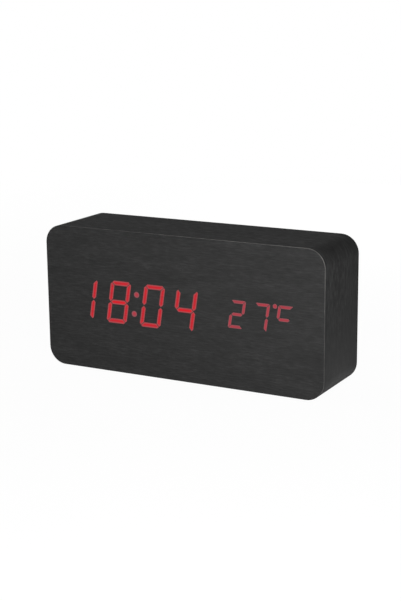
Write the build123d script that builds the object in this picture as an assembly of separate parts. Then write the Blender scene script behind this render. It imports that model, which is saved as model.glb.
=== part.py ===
from build123d import *
import os
from math import copysign, cos, hypot, pi, radians, sin, tan

# Desk clock with a foil-covered wooden case and a red seven-segment display, in millimetres.
# +X is to the right as the display is read, +Y runs from the display to the back, +Z is up.
# The origin is on the base, under the middle of the case.
#
# The case is a block of fibreboard milled out from behind. It leaves a web at the front with two
# windows for the display blocks. Thin wood-grain sheets close the front and the back. Behind the
# front sheet come a diffuser, the reflector blocks with their cast light guides, the lamp chips and
# the main board. A moulded panel in the back holds four AAA cells under a hinged door, three push
# buttons with their switches, the power socket and the temperature sensor.

# Case
case_width = 150.0
case_height = 70.8
case_depth = 39.8
corner_radius = 9.0
wall = 6.0
web_thickness = 4.0
cavity_corner_radius = 4.0
sheet_thickness = 1.0
sheet_edge_radius = 0.35
back_board_thickness = 5.0
back_board_ledge = 3.0
back_board_corner_radius = 5.0
glue_gap = 0.1
cut_overrun = 1.0

front_face_y = -case_depth / 2
back_face_y = case_depth / 2
body_front_y = front_face_y + sheet_thickness
body_back_y = back_face_y - sheet_thickness
web_back_y = body_front_y + web_thickness
board_front_y = body_back_y - back_board_thickness
middle_z = case_height / 2

# Digits. Widths and spans are between the centre lines of opposite segments.
digit_slant = 9.0
segment_corner_gap = 0.15
segment_middle_gap = 0.2
window_clearance = 0.03
time_digit_width = 9.3
time_digit_span = 18.9
time_segment_thickness = 2.2
time_corner_reach_share = 0.33
colon_dot_diameter = 2.9
colon_dot_spacing = 9.6
temperature_digit_width = 6.1
temperature_digit_span = 12.0
temperature_segment_thickness = 1.5
temperature_corner_reach_share = 0.66
temperature_row_rise = 1.1
degree_dot_diameter = 2.2
degree_dot_shift = 0.4

# Middles of the digits from the left, as shares of the case's width to either side of its middle
time_digit_shares = (-0.3500, -0.2232, -0.0972, 0.0218)
temperature_digit_shares = (0.2060, 0.2880, 0.3660)

lean = tan(radians(digit_slant))
hour_tens_x, hour_units_x, minute_tens_x, minute_units_x = (s * case_width for s in time_digit_shares)
colon_x = (hour_units_x + minute_tens_x) / 2
temperature_tens_x, temperature_units_x, celsius_x = (s * case_width for s in temperature_digit_shares)
temperature_z = middle_z + temperature_row_rise

# Display stack
diffuser_thickness = 0.4
reflector_depth = 7.0
reflector_side_margin = 1.5
reflector_edge_margin = 2.0
time_cell_draft = 0.5
temperature_cell_draft = 0.25
aperture_clearance = 0.3
lamp_length = 1.0
lamp_width = 0.5
lamp_height = 0.4
lamp_gap = 0.2

diffuser_back_y = body_front_y + diffuser_thickness
board_face_y = diffuser_back_y + reflector_depth

# Main board
board_thickness = 1.6
main_board_side_room = 5.0
main_board_height = 42.0
board_corner_radius = 1.5
board_hole_inset = 3.5
spacer_diameter = 5.0
spacer_wall = 1.2
board_screw_diameter = 2.2
board_screw_length = 8.0
board_screw_head_diameter = 4.2
board_screw_head_height = 1.6
thread_clearance = 0.03
board_hole_clearance = 0.1

main_board_back_y = board_face_y + board_thickness
main_board_width = case_width - 2 * (wall + main_board_side_room)

# Parts on the main board
chip_length = 17.9
chip_width = 7.5
chip_height = 2.3
chip_standoff = 0.2
chip_x = -8.0
chip_leads_per_side = 14
chip_lead_pitch = 1.27
chip_lead_width = 0.42
chip_lead_thickness = 0.25
chip_lead_reach = 1.4
crystal_diameter = 3.0
crystal_length = 8.2
crystal_rim = 0.3
crystal_x = -8.0
crystal_z_offset = -10.0
crystal_lead_diameter = 0.4
crystal_lead_length = 2.0
crystal_lead_spacing = 1.1
buzzer_diameter = 12.0
buzzer_height = 6.5
buzzer_hole_diameter = 2.0
buzzer_hole_depth = 1.5
buzzer_inset = 19.0
buzzer_z_offset = -6.0
coin_cell_diameter = 20.0
coin_cell_height = 3.2
coin_cell_step = 0.4
coin_holder_wall = 1.2
coin_holder_floor = 0.8
coin_clearance = 0.15
coin_clip_width = 5.0
coin_clip_thickness = 0.3
coin_x = 22.0
microphone_diameter = 6.0
microphone_height = 2.7
microphone_inset = 19.0
microphone_z_offset = 11.0
microphone_port_diameter = 1.6
capacitor_diameter = 6.3
capacitor_height = 5.4
capacitor_base_height = 0.9
capacitor_base_margin = 0.2
capacitor_pitch = 8.0
capacitor_x = -8.0
capacitor_z_offset = 13.0
capacitor_groove_depth = 0.3
capacitor_groove_height = 0.7
header_height = 3.5
header_wall = 1.2
header_pitch = 2.0
header_width = 4.5

# Moulded panel in the back
panel_width = 112.0
panel_height = 51.0
panel_corner_radius = 4.0
panel_edge_radius = 0.5
panel_flange_thickness = 2.2
panel_body_width = 98.0
panel_wall = 1.5
panel_body_corner_radius = 1.4
panel_clearance = 0.3
panel_x = 0.0
panel_screw_diameter = 2.2
panel_screw_length = 5.6
panel_screw_head_diameter = 4.2
panel_screw_head_height = 1.2
panel_screw_inset = 3.6
panel_screw_row_inset = 6.0
panel_screw_hole_clearance = 0.1
screw_point_length = 1.0
recess_tool_width = 0.5
recess_tool_span_share = 0.55
recess_tool_depth = 0.7

# Battery compartment
cell_diameter = 10.5
cell_length = 44.5
cell_nub_diameter = 3.8
cell_nub_length = 1.0
cell_edge_radius = 0.5
cell_groove_depth = 0.25
cell_groove_width = 0.8
cell_groove_inset = 2.2
cell_count = 4
cell_pitch = 10.85
cell_play = 0.1
cell_door_clearance = 0.4
cell_floor_clearance = 0.2
tray_floor_thickness = 1.4
tray_side_clearance = 0.1
cradle_count = 3
cradle_thickness = 1.5
cradle_height = 3.4
cradle_clearance = 0.15
contact_thickness = 0.4
contact_width = 8.6
contact_height = 8.4
contact_corner_radius = 1.0
contact_tail_width = 2.0
contact_tail_reach = 1.5
contact_slot_clearance = 0.2
spring_length = 4.6
spring_wire = 0.5
spring_foot_length = 1.5
spring_foot_step = 0.75
spring_base_radius = 3.4
spring_tip_radius = 2.1
spring_turns = 3
spring_gap = 0.1

# Battery door
door_thickness = 2.2
door_overlap = 0.9
door_gap = 0.3
door_seat_gap = 0.2
door_edge_radius = 0.4
door_rib_thickness = 1.0
door_rib_height = 1.4
door_rib_end_gap = 2.0
pivot_radius = 0.6
pivot_length = 1.1
pivot_clearance = 0.06
pivot_end_gap = 0.1
grip_groove_count = 4
grip_groove_pitch = 2.0
grip_groove_width = 0.9
grip_groove_depth = 0.45
grip_groove_length = 14.0
grip_inset = 4.0
latch_width = 10.0
latch_thickness = 0.9
latch_reach = 1.8
latch_clearance = 0.4
latch_nose = 0.2
latch_nose_height = 0.8
thumb_notch_width = 14.0
thumb_notch_height = 1.6
thumb_notch_depth = 1.3

# Control area
pocket_depth = 1.0
pocket_margin = 2.5
pocket_corner_radius = 2.0
pocket_floor_thickness = 2.0
button_diameter = 6.0
button_pitch = 12.0
button_row_rise = 8.5
button_stand = 0.7
button_edge_radius = 0.4
button_flange_width = 0.8
button_flange_thickness = 1.0
button_boss_diameter = 3.0
button_boss_height = 0.4
button_clearance = 0.15
button_mark_size = 1.25
button_mark_depth = 0.25
switch_side = 6.0
switch_height = 3.4
switch_plunger_diameter = 3.4
switch_plunger_height = 1.6
switch_plunger_seat = 1.0
switch_plunger_clearance = 0.08
switch_travel_room = 1.0
switch_edge_chamfer = 0.3
switch_rivet_diameter = 0.8
switch_rivet_height = 0.15
control_board_side = 40.0
control_board_screw_inset = 3.5
control_boss_diameter = 4.6
control_rib_thickness = 1.0
control_screw_diameter = 1.8
control_screw_length = 6.0
control_screw_head_diameter = 3.4
control_screw_head_height = 1.3
socket_width = 7.8
socket_height = 3.0
socket_bevel = 0.9
socket_wall = 0.35
socket_base_thickness = 1.2
socket_setback = 0.2
socket_clearance = 0.25
socket_x_offset = -10.0
socket_row_drop = 12.0
tongue_width = 4.0
tongue_thickness = 0.65
tongue_length = 5.2
sensor_x_offset = 10.0
sensor_bead_diameter = 2.4
sensor_bead_length = 3.2
sensor_lead_diameter = 0.5
sensor_lead_spacing = 1.2
sensor_gap = 1.5
vent_diameter = 1.3
vent_ring_diameter = 4.2
vent_count = 6

# Leads inside the case
lead_diameter = 0.9
lead_exit = 2.6
ribbon_width = 6.4
ribbon_thickness = 0.9
ribbon_exit = 4.0
ribbon_ways = 5
ribbon_header_rise = 12.0
ribbon_landing_rise = 3.0
bend_share = 0.45

# Places that follow from the sizes above. Levels are y values, named by the face that lies there.
door_outer_y = back_face_y
door_inner_y = door_outer_y - door_thickness
door_seat_y = door_inner_y - door_seat_gap
cell_y = door_inner_y - cell_door_clearance - cell_diameter / 2
tray_floor_y = cell_y - cell_diameter / 2 - cell_floor_clearance
tray_back_y = tray_floor_y - tray_floor_thickness
tray_length = 2 * contact_thickness + cell_length + cell_play + spring_length + spring_gap
tray_height = cell_count * cell_pitch + 2 * tray_side_clearance
panel_body_height = tray_height + 2 * panel_wall
body_half_width = panel_body_width / 2
tray_right_x = panel_x + body_half_width - panel_wall
tray_left_x = tray_right_x - tray_length
tray_x = (tray_left_x + tray_right_x) / 2
tray_bottom_z = middle_z - tray_height / 2
door_width = tray_length + 2 * door_overlap
door_height = tray_height + 2 * door_overlap
hinge_y = door_outer_y - door_thickness / 2
hinge_z = middle_z + door_height / 2 - door_thickness / 2
door_bottom_z = middle_z - door_height / 2
flange_seat_y = back_face_y - panel_flange_thickness
control_left_x = panel_x - body_half_width
control_right_x = tray_left_x - panel_wall
control_x = (control_left_x + control_right_x) / 2
control_width = control_right_x - control_left_x
pocket_floor_y = back_face_y - pocket_depth
pocket_inner_y = pocket_floor_y - pocket_floor_thickness
button_seat_y = pocket_inner_y - button_flange_thickness
plunger_tip_y = button_seat_y - button_boss_height
control_board_face_y = plunger_tip_y - switch_height - switch_plunger_height
control_board_inner_y = control_board_face_y - board_thickness
button_z = middle_z + button_row_rise
socket_x = control_x + socket_x_offset
socket_z = middle_z - socket_row_drop
socket_mouth_y = pocket_floor_y - socket_setback
sensor_x = control_x + sensor_x_offset
header_face_y = main_board_back_y + header_height
contact_tail_y = tray_back_y - contact_tail_reach

BUTTONS = {"set": -1, "up": 0, "down": 1}
LIT = {"1": "bc", "8": "abcdefg", "0": "abcdef", "4": "bcfg", "2": "abdeg", "7": "abc", "c": "afg"}
TIME_DIGITS = {
    "hour_tens": (hour_tens_x, "1"),
    "hour_units": (hour_units_x, "8"),
    "minute_tens": (minute_tens_x, "0"),
    "minute_units": (minute_units_x, "4"),
}
TEMPERATURE_DIGITS = {
    "temperature_tens": (temperature_tens_x, "2"),
    "temperature_units": (temperature_units_x, "7"),
    "celsius": (celsius_x, "c"),
}


def slab(profile, front_y, back_y):
    """Solid with the given profile as seen from the front, between two depths."""
    return extrude(Plane.XZ.offset(-back_y) * profile, back_y - front_y)


def block(width, height, front_y, back_y, x, z):
    """Plain rectangular slab centred on x, z."""
    return slab(Pos(x, z) * Rectangle(width, height), front_y, back_y)


def rounded_block(width, height, radius, front_y, back_y, x, z):
    """Rectangular slab with rounded corners, centred on x, z."""
    return slab(Pos(x, z) * RectangleRounded(width, height, radius), front_y, back_y)


def disc(diameter, front_y, back_y, x, z):
    """Cylinder along Y."""
    return slab(Pos(x, z) * Circle(diameter / 2), front_y, back_y)


def turned(profile, x, z):
    """Solid of revolution about an axis along Y. Profile points are (radius, y)."""
    return Pos(x, 0, z) * revolve(make_face(Polyline(*profile, close=True)), Axis.Y)


def together(solids):
    """One shape that keeps its solids separate."""
    return Compound([s for part in solids for s in part.solids()])


# Seven-segment digits


def segment_line(name, width, span):
    """Ends of one segment's centre line, about the middle of an upright digit."""
    left, right, top, bottom = -width / 2, width / 2, span / 2, -span / 2
    return {
        "a": ((left, top), (right, top)),
        "b": ((right, top), (right, 0)),
        "c": ((right, 0), (right, bottom)),
        "d": ((left, bottom), (right, bottom)),
        "e": ((left, 0), (left, bottom)),
        "f": ((left, top), (left, 0)),
        "g": ((left, 0), (right, 0)),
    }[name]


def segment_end(point, inward, half, reach_share, grow):
    """Mitred end of a segment: a corner to the left of its inward way, the tip, and one to the right.

    At a corner of the digit the tip is moved outwards along the mitre, by a share of half the
    thickness, so that two segments fill the corner.
    """
    left = Vector(-inward.Y, inward.X)
    at_corner = point.Y != 0
    gap = segment_corner_gap if at_corner else segment_middle_gap
    reach = half * reach_share if at_corner else 0
    shift = Vector(copysign(reach, point.X), copysign(reach, point.Y))
    tip = point + shift + inward * (gap - grow * hypot(1, 1))
    aside = shift.dot(left)
    return [
        tip + (inward + left) * (half - aside),
        tip,
        tip + (inward - left) * (half + aside),
    ]


def segment_face(name, width, span, thickness, reach_share, grow):
    """Six-sided bar with mitred ends, leaned over by the slant. Grow moves every edge outwards."""
    start, end = (Vector(*p) for p in segment_line(name, width, span))
    along = (end - start).normalized()
    half = thickness / 2 + grow
    corners = segment_end(start, along, half, reach_share, grow)
    corners += segment_end(end, -along, half, reach_share, grow)
    return make_face(Polyline(*[(p.X + p.Y * lean, p.Y) for p in corners], close=True))


def time_segments(names, x, grow=0):
    """Faces of the named segments of a time digit."""
    size = (time_digit_width, time_digit_span, time_segment_thickness, time_corner_reach_share, grow)
    return [Pos(x, middle_z) * segment_face(name, *size) for name in names]


def temperature_segments(names, x, grow=0):
    """Faces of the named segments of a temperature digit."""
    size = (
        temperature_digit_width,
        temperature_digit_span,
        temperature_segment_thickness,
        temperature_corner_reach_share,
        grow,
    )
    return [Pos(x, temperature_z) * segment_face(name, *size) for name in names]


def colon_dots(grow=0):
    """The two dots between hours and minutes, on the digits' slant."""
    dot = Circle(colon_dot_diameter / 2 + grow)
    rise = colon_dot_spacing / 2
    return [Pos(colon_x + side * rise * lean, middle_z + side * rise) * dot for side in (1, -1)]


def degree_dot(grow=0):
    """The dot before the Celsius sign, level with the top segments."""
    rise = temperature_digit_span / 2
    x = (temperature_units_x + celsius_x) / 2 + rise * lean + degree_dot_shift
    return [Pos(x, temperature_z + rise) * Circle(degree_dot_diameter / 2 + grow)]


def lit_faces(grow=0):
    """Faces of everything that is lit, by the name of the digit or sign."""
    faces = {name: time_segments(LIT[digit], x, grow) for name, (x, digit) in TIME_DIGITS.items()}
    for name, (x, digit) in TEMPERATURE_DIGITS.items():
        faces[name] = temperature_segments(LIT[digit], x, grow)
    faces["colon"] = colon_dots(grow)
    faces["degree"] = degree_dot(grow)
    return faces


def time_cells(grow=0):
    """Faces of every segment and dot of the time block, lit or not."""
    cells = [f for x, _ in TIME_DIGITS.values() for f in time_segments(LIT["8"], x, grow)]
    return cells + colon_dots(grow)


def temperature_cells(grow=0):
    """Faces of every segment and dot of the temperature block, lit or not."""
    cells = [f for x, _ in TEMPERATURE_DIGITS.values() for f in temperature_segments(LIT["8"], x, grow)]
    return cells + degree_dot(grow)


def display_block_size(first_x, last_x, width, span, thickness):
    """Width, height and middle x of the block that holds a row of leaning digits."""
    reach = width / 2 + thickness / 2 + lean * span / 2 + reflector_side_margin
    height = span + thickness + 2 * reflector_edge_margin
    return last_x - first_x + 2 * reach, height, (first_x + last_x) / 2


def display_blocks():
    """Width, height, x and z of the time block and of the temperature block."""
    time = display_block_size(
        hour_tens_x, minute_units_x, time_digit_width, time_digit_span, time_segment_thickness
    )
    temperature = display_block_size(
        temperature_tens_x,
        celsius_x,
        temperature_digit_width,
        temperature_digit_span,
        temperature_segment_thickness,
    )
    return {"time": (*time, middle_z), "temperature": (*temperature, temperature_z)}


# Case


def rim_places(width, height, inset_x, inset_z, x=0):
    """Four places near the corners of a rectangle centred on x and the middle height."""
    return [
        (x + sx * (width / 2 - inset_x), middle_z + sz * (height / 2 - inset_z))
        for sx in (-1, 1)
        for sz in (-1, 1)
    ]


def main_board_holes():
    return rim_places(main_board_width, main_board_height, board_hole_inset, board_hole_inset)


def panel_screw_places():
    return rim_places(panel_width, panel_height, panel_screw_inset, panel_screw_row_inset, panel_x)


def control_screw_places():
    inset = control_board_screw_inset
    return rim_places(control_board_side, control_board_side, inset, inset, control_x)


def case_body():
    """Fibreboard block, milled from behind, with the display windows and the back board's rebate."""
    body = rounded_block(case_width, case_height, corner_radius, body_front_y, body_back_y, 0, middle_z)
    cavity_width, cavity_height = case_width - 2 * wall, case_height - 2 * wall
    behind = body_back_y + cut_overrun
    body -= rounded_block(
        cavity_width, cavity_height, cavity_corner_radius, web_back_y, behind, 0, middle_z
    )
    body -= rounded_block(
        cavity_width + 2 * back_board_ledge,
        cavity_height + 2 * back_board_ledge,
        back_board_corner_radius,
        board_front_y,
        behind,
        0,
        middle_z,
    )
    before = body_front_y - cut_overrun
    for width, height, x, z in display_blocks().values():
        room = 2 * aperture_clearance
        body -= block(width + room, height + room, before, web_back_y + cut_overrun, x, z)
    pilot = board_screw_diameter + 2 * thread_clearance
    tip_y = main_board_back_y - board_screw_length
    for x, z in main_board_holes():
        body -= disc(pilot, tip_y, web_back_y + cut_overrun, x, z)
    return body


def sheet(outer_y, inner_y):
    """Full-size cover sheet with its outer edge rounded over."""
    front_y, back_y = sorted((outer_y, inner_y))
    plain = rounded_block(case_width, case_height, corner_radius, front_y, back_y, 0, middle_z)
    face = plain.faces().sort_by(Axis.Y)[0 if outer_y < inner_y else -1]
    return fillet(face.edges(), sheet_edge_radius)


def front_sheet():
    """Front cover with a clear window over each lit segment."""
    cover = sheet(front_face_y, body_front_y)
    before, behind = front_face_y - cut_overrun, body_front_y + cut_overrun
    windows = [f for faces in lit_faces(window_clearance).values() for f in faces]
    return cover - [slab(face, before, behind) for face in windows]


def lit_pieces():
    """The lit windows, one shape for each digit or sign."""
    return {
        name: together([slab(face, front_face_y, body_front_y) for face in faces])
        for name, faces in lit_faces().items()
    }


def back_sheet():
    """Back cover with the opening for the moulded panel."""
    cover = sheet(back_face_y, body_back_y)
    room = 2 * panel_clearance
    radius = panel_corner_radius + panel_clearance
    before, behind = body_back_y - cut_overrun, back_face_y + cut_overrun
    opening = (panel_width + room, panel_height + room, radius)
    return cover - rounded_block(*opening, before, behind, panel_x, middle_z)


def back_board():
    """Fibreboard back, stepped for the panel's flange and open for its body."""
    width = case_width - 2 * (wall - back_board_ledge + glue_gap)
    height = case_height - 2 * (wall - back_board_ledge + glue_gap)
    radius = back_board_corner_radius - glue_gap
    board = rounded_block(width, height, radius, board_front_y, body_back_y, 0, middle_z)
    room = 2 * panel_clearance
    behind = body_back_y + cut_overrun
    board -= rounded_block(
        panel_width + room,
        panel_height + room,
        panel_corner_radius + panel_clearance,
        flange_seat_y,
        behind,
        panel_x,
        middle_z,
    )
    board -= rounded_block(
        panel_body_width + room,
        panel_body_height + room,
        panel_body_corner_radius + panel_clearance,
        board_front_y - cut_overrun,
        behind,
        panel_x,
        middle_z,
    )
    pilot = panel_screw_diameter + 2 * thread_clearance
    tip_y = back_face_y - panel_screw_length
    for x, z in panel_screw_places():
        board -= disc(pilot, tip_y, behind, x, z)
    return board


# Display


def diffuser():
    """Two thin sheets that spread the light, one in front of each block."""
    return together(
        [
            block(width, height, body_front_y, diffuser_back_y, x, z)
            for width, height, x, z in display_blocks().values()
        ]
    )


def tapered_cells(cells, draft, front_y, back_y):
    """Solids of the cells' form, each side of which closes in by the draft from diffuser to board."""

    def outlines(y):
        grow = -draft * (y - diffuser_back_y) / reflector_depth
        return [Plane.XZ.offset(-y) * face for face in cells(grow)]

    return [loft(pair, ruled=True) for pair in zip(outlines(front_y), outlines(back_y))]


def reflector(name, cells, draft):
    """White block with an open funnel for every segment, narrower at its lamp."""
    width, height, x, z = display_blocks()[name]
    body = block(width, height, diffuser_back_y, board_face_y, x, z)
    before, behind = diffuser_back_y - cut_overrun, board_face_y + cut_overrun
    return body - tapered_cells(cells, draft, before, behind)


def light_guides(cells, draft):
    """Clear resin cast in the funnels, down to just above the lamps."""
    end_y = board_face_y - lamp_height - lamp_gap
    return together(tapered_cells(cells, draft, diffuser_back_y, end_y))


def lamp_chips():
    """One lamp on the main board under each segment and dot, lying along its segment."""
    chips = []
    for face in time_cells() + temperature_cells():
        place, room = face.center(), face.bounding_box().size
        size = (lamp_length, lamp_width) if room.X > room.Y else (lamp_width, lamp_length)
        chips.append(block(*size, board_face_y - lamp_height, board_face_y, place.X, place.Y))
    return together(chips)


# Boards and what they carry


def screw(diameter, length, head_diameter, head_height, under_head_y, x, z):
    """Pan-head screw pointing towards the front, with a cross recess."""
    radius, head_radius = diameter / 2, head_diameter / 2
    top_y, tip_y = under_head_y + head_height, under_head_y - length
    body = turned(
        [
            (0, tip_y),
            (radius, tip_y + screw_point_length),
            (radius, under_head_y),
            (head_radius, under_head_y),
            (head_radius, under_head_y + head_height / 2),
            (head_radius - head_height / 2, top_y),
            (0, top_y),
        ],
        x,
        z,
    )
    return body - cross_recess(head_diameter, top_y, x, z)


def countersunk_screw(diameter, length, head_diameter, head_height, top_y, x, z):
    """Countersunk screw pointing towards the front, with a cross recess. Length includes the head."""
    radius, head_radius = diameter / 2, head_diameter / 2
    tip_y = top_y - length
    body = turned(
        [
            (0, tip_y),
            (radius, tip_y + screw_point_length),
            (radius, top_y - head_height),
            (head_radius, top_y),
            (0, top_y),
        ],
        x,
        z,
    )
    return body - cross_recess(head_diameter, top_y, x, z)


def cross_recess(head_diameter, top_y, x, z):
    span = head_diameter * recess_tool_span_share
    before, behind = top_y - recess_tool_depth, top_y + cut_overrun
    bar = block(span, recess_tool_width, before, behind, x, z)
    return bar + block(recess_tool_width, span, before, behind, x, z)


def main_board():
    board = rounded_block(
        main_board_width,
        main_board_height,
        board_corner_radius,
        board_face_y,
        main_board_back_y,
        0,
        middle_z,
    )
    hole = board_screw_diameter + 2 * board_hole_clearance
    before, behind = board_face_y - cut_overrun, main_board_back_y + cut_overrun
    return board - [disc(hole, before, behind, x, z) for x, z in main_board_holes()]


def board_spacers():
    """Tubes that hold the main board off the web."""
    inner = spacer_diameter - 2 * spacer_wall
    ring = Circle(spacer_diameter / 2) - Circle(inner / 2)
    return together([slab(Pos(x, z) * ring, web_back_y, board_face_y) for x, z in main_board_holes()])


def main_board_screws():
    size = (board_screw_diameter, board_screw_length)
    head = (board_screw_head_diameter, board_screw_head_height)
    return together([screw(*size, *head, main_board_back_y, x, z) for x, z in main_board_holes()])


def clock_chip():
    """Controller in a small-outline package with two rows of bent leads."""
    low_y = main_board_back_y + chip_standoff
    high_y = low_y + chip_height
    body = block(chip_length, chip_width, low_y, high_y, chip_x, middle_z)
    body = chamfer(body.edges().group_by(Axis.Y)[-1], chip_standoff)
    knee_y = low_y + chip_height / 2
    first = -(chip_leads_per_side - 1) / 2
    for side in (-1, 1):
        edge = chip_width / 2
        foot = edge + chip_lead_reach
        knee = edge + chip_lead_reach / 2
        thick = chip_lead_thickness
        outline = Polyline(
            (main_board_back_y, side * foot),
            (main_board_back_y, side * (knee - thick)),
            (knee_y - thick, side * (knee - thick)),
            (knee_y - thick, side * (edge - thick)),
            (knee_y, side * (edge - thick)),
            (knee_y, side * knee),
            (main_board_back_y + thick, side * knee),
            (main_board_back_y + thick, side * foot),
            close=True,
        )
        for number in range(chip_leads_per_side):
            x = chip_x + (first + number) * chip_lead_pitch - chip_lead_width / 2
            lead = extrude(Plane.YZ * make_face(outline), chip_lead_width)
            body += Pos(x, 0, middle_z) * lead
    return body


def lying_cylinder(diameter, x_start, length, y, z):
    """Cylinder along X."""
    return extrude(Plane.YZ.offset(x_start) * (Pos(y, z) * Circle(diameter / 2)), length)


def clock_crystal():
    """Watch crystal lying on the main board, with two leads."""
    radius = crystal_diameter / 2
    y, z = main_board_back_y + radius + crystal_rim, middle_z + crystal_z_offset
    start = crystal_x - crystal_length / 2
    can = lying_cylinder(crystal_diameter, start, crystal_length, y, z)
    can += lying_cylinder(crystal_diameter + 2 * crystal_rim, start, crystal_rim, y, z)
    for side in (-1, 1):
        lead_z = z + side * crystal_lead_spacing / 2
        out = lying_cylinder(
            crystal_lead_diameter,
            start - crystal_lead_length,
            crystal_lead_length + crystal_rim,
            y,
            lead_z,
        )
        foot_x = start - crystal_lead_length + crystal_lead_diameter / 2
        can += out + disc(crystal_lead_diameter, main_board_back_y, y, foot_x, lead_z)
    return can


def buzzer():
    """Round sounder with its port in the middle."""
    x, z = buzzer_inset - main_board_width / 2, middle_z + buzzer_z_offset
    top_y = main_board_back_y + buzzer_height
    body = disc(buzzer_diameter, main_board_back_y, top_y, x, z)
    body = fillet(body.edges().group_by(Axis.Y)[-1], buzzer_hole_depth / 3)
    return body - disc(buzzer_hole_diameter, top_y - buzzer_hole_depth, top_y + cut_overrun, x, z)


def coin_levels():
    """Depths of the backup cell's seat and top."""
    seat_y = main_board_back_y + coin_holder_floor
    return seat_y, seat_y + coin_cell_height


def backup_cell():
    """Coin cell, with the stepped rim of its negative cap downwards."""
    seat_y, top_y = coin_levels()
    radius = coin_cell_diameter / 2
    profile = [
        (0, seat_y),
        (radius - coin_holder_wall, seat_y),
        (radius, seat_y + coin_cell_step),
        (radius, top_y - coin_cell_step / 2),
        (radius - coin_cell_step / 2, top_y),
        (0, top_y),
    ]
    return turned(profile, coin_x, middle_z)


def backup_cell_holder():
    """Open moulded cup round the coin cell, cut away above for the finger."""
    seat_y, top_y = coin_levels()
    inner = coin_cell_diameter + 2 * coin_clearance
    outer = inner + 2 * coin_holder_wall
    rim_y = top_y - coin_cell_step
    cup = disc(outer, main_board_back_y, rim_y, coin_x, middle_z)
    cup -= disc(inner, seat_y, rim_y + cut_overrun, coin_x, middle_z)
    finger = coin_cell_diameter / 3
    notch_height = 2 * coin_holder_wall + finger / 2
    notch_z = middle_z + outer / 2
    return cup - block(finger, notch_height, seat_y, rim_y + cut_overrun, coin_x, notch_z)


def backup_cell_clip():
    """Sprung strip over the coin cell, with its foot on the board beside the holder."""
    top_y = coin_levels()[1]
    outer = coin_cell_diameter / 2 + coin_clearance + coin_holder_wall
    far_x = coin_x + outer + coin_clearance
    thick = coin_clip_thickness
    outline = Polyline(
        (coin_x, top_y),
        (coin_x, top_y + thick),
        (far_x + thick, top_y + thick),
        (far_x + thick, main_board_back_y),
        (far_x, main_board_back_y),
        (far_x, top_y),
        close=True,
    )
    strip = extrude(make_face(outline), coin_clip_width)
    return Pos(0, 0, middle_z - coin_clip_width / 2) * strip


def microphone():
    """Sound pick-up capsule with its port."""
    x, z = microphone_inset - main_board_width / 2, middle_z + microphone_z_offset
    top_y = main_board_back_y + microphone_height
    body = disc(microphone_diameter, main_board_back_y, top_y, x, z)
    port_y = top_y - coin_holder_floor
    return body - disc(microphone_port_diameter, port_y, top_y + cut_overrun, x, z)


def capacitors():
    """Two electrolytic cans on square bases."""
    z = middle_z + capacitor_z_offset
    base_top_y = main_board_back_y + capacitor_base_height
    top_y = main_board_back_y + capacitor_height
    groove_y = base_top_y + capacitor_groove_height
    side = capacitor_diameter + 2 * capacitor_base_margin
    radius = capacitor_diameter / 2
    waist = radius - capacitor_groove_depth
    cans = []
    for place in (-1, 1):
        x = capacitor_x + place * capacitor_pitch / 2
        can = turned(
            [
                (0, base_top_y),
                (radius, base_top_y),
                (radius, groove_y),
                (waist, groove_y + capacitor_groove_depth),
                (radius, groove_y + 2 * capacitor_groove_depth),
                (radius, top_y - capacitor_groove_depth),
                (waist, top_y),
                (0, top_y),
            ],
            x,
            z,
        )
        cans.append(can + block(side, side, main_board_back_y, base_top_y, x, z))
    return together(cans)


def open_header(ways, x, z, along_x):
    """Pin header: a walled box, filled by the plug that the leads leave."""
    long_side = ways * header_pitch + 2 * header_wall
    width, height = (long_side, header_width) if along_x else (header_width, long_side)
    shell = block(width, height, main_board_back_y, header_face_y, x, z)
    room_w, room_h = width - header_wall, height - header_wall
    seam_y = header_face_y - header_wall / 2
    outline = Rectangle(room_w, room_h) - Rectangle(room_w - header_wall / 3, room_h - header_wall / 3)
    return shell - slab(Pos(x, z) * outline, seam_y, header_face_y + cut_overrun)


def power_header():
    return open_header(2, contact_tail_x(), middle_z, False)


def ribbon_header():
    return open_header(ribbon_ways, control_x, middle_z + ribbon_header_rise, True)


# Battery compartment


def cell_z(number):
    """Height of a cell's axis, counted from the top."""
    return middle_z + ((cell_count - 1) / 2 - number) * cell_pitch


def positive_is_right(number):
    """The cells lie head to tail, in series."""
    return number % 2 == 0


def battery_cell(number):
    """AAA cell along X, with its nub, rolled edge and crimp groove."""
    radius, nub = cell_diameter / 2, cell_nub_diameter / 2
    shoulder = cell_length - cell_nub_length
    groove = shoulder - cell_groove_inset
    profile = Polyline(
        (0, 0),
        (radius - cell_edge_radius, 0),
        (radius, cell_edge_radius),
        (radius, groove - cell_groove_width),
        (radius - cell_groove_depth, groove - cell_groove_width / 2),
        (radius, groove),
        (radius, shoulder - cell_edge_radius),
        (radius - cell_edge_radius, shoulder),
        (nub, shoulder),
        (nub, cell_length),
        (0, cell_length),
        close=True,
    )
    cell = Rot(0, 90, 0) * revolve(Plane.XZ * make_face(profile), Axis.Z)
    face_x = tray_length / 2 - contact_thickness - cell_play
    cell = Pos(face_x - cell_length, 0, 0) * cell
    if not positive_is_right(number):
        cell = Rot(0, 180, 0) * cell
    return Pos(tray_x, cell_y, cell_z(number)) * cell


def contact_tail_x():
    """Middle of the outer contact's strip at the right end of the compartment."""
    return tray_right_x - contact_thickness / 2


def contact_face(first, last):
    """Outline, seen along X, of a contact strip that serves cells first to last."""
    height = contact_height + (last - first) * cell_pitch
    middle = (cell_z(first) + cell_z(last)) / 2
    low_y = cell_y - contact_width / 2
    return Pos(low_y + contact_width / 2, middle) * RectangleRounded(
        contact_width, height, contact_corner_radius
    )


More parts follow.
